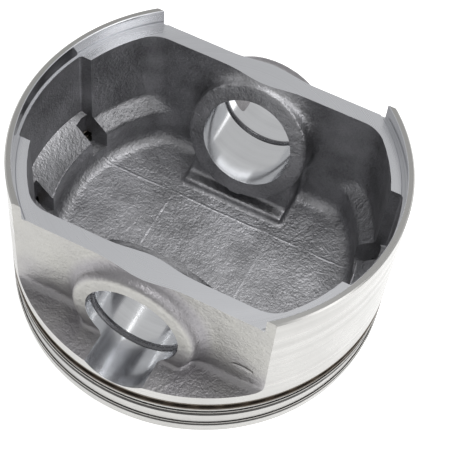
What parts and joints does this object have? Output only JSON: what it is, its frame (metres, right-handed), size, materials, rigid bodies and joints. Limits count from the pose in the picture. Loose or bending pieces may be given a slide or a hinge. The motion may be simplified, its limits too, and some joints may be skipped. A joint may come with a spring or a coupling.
{
  "type": "piston",
  "caption": "Short-skirt engine piston standing on its crown, open end up, with flat boss walls, piston rings in their grooves and wire circlips in the pin bores.",
  "frame": {"origin": "centre of the crown's flat face, which is the lowest face of the piston as it stands", "axes": "+Z from the crown towards the open end of the skirt, Y along the gudgeon pin axis, the skirt's thrust faces on +X and -X"},
  "size_m": [0.08, 0.08, 0.0407],
  "materials": {
    "cast_aluminium": "as-cast inside, fine-turned outside",
    "ring_iron": "dark phosphate",
    "rail_steel": "dark oxide",
    "expander_steel": "straw-brown temper",
    "circlip_steel": "oiled black spring steel"
  },
  "bodies": {
    "piston": {"piston_casting": "cast_aluminium"},
    "top_ring": {"top_compression_ring": "ring_iron"},
    "second_ring": {"second_compression_ring": "ring_iron"},
    "lower_rail": {"oil_ring_lower_rail": "rail_steel"},
    "expander": {"oil_ring_expander": "expander_steel"},
    "upper_rail": {"oil_ring_upper_rail": "rail_steel"},
    "left_circlip": {"circlip_left": "circlip_steel"},
    "right_circlip": {"circlip_right": "circlip_steel"}
  },
  "joints": [
    {"name": "top_ring_turn", "type": "hinge", "parent": "piston", "child": "top_ring", "pos_m": [0, 0, 0.00355], "axis": [0, 0, 1], "continuous": true},
    {"name": "second_ring_turn", "type": "hinge", "parent": "piston", "child": "second_ring", "pos_m": [0, 0, 0.00805], "axis": [0, 0, 1], "continuous": true},
    {"name": "lower_rail_turn", "type": "hinge", "parent": "piston", "child": "lower_rail", "pos_m": [0, 0, 0.01022], "axis": [0, 0, 1], "continuous": true},
    {"name": "expander_turn", "type": "hinge", "parent": "piston", "child": "expander", "pos_m": [0, 0, 0.0112], "axis": [0, 0, 1], "continuous": true},
    {"name": "upper_rail_turn", "type": "hinge", "parent": "piston", "child": "upper_rail", "pos_m": [0, 0, 0.01218], "axis": [0, 0, 1], "continuous": true},
    {"name": "left_circlip_turn", "type": "hinge", "parent": "piston", "child": "left_circlip", "pos_m": [0, -0.0295, 0.023], "axis": [0, 1, 0], "continuous": true},
    {"name": "right_circlip_turn", "type": "hinge", "parent": "piston", "child": "right_circlip", "pos_m": [0, 0.0295, 0.023], "axis": [0, 1, 0], "continuous": true}
  ]
}
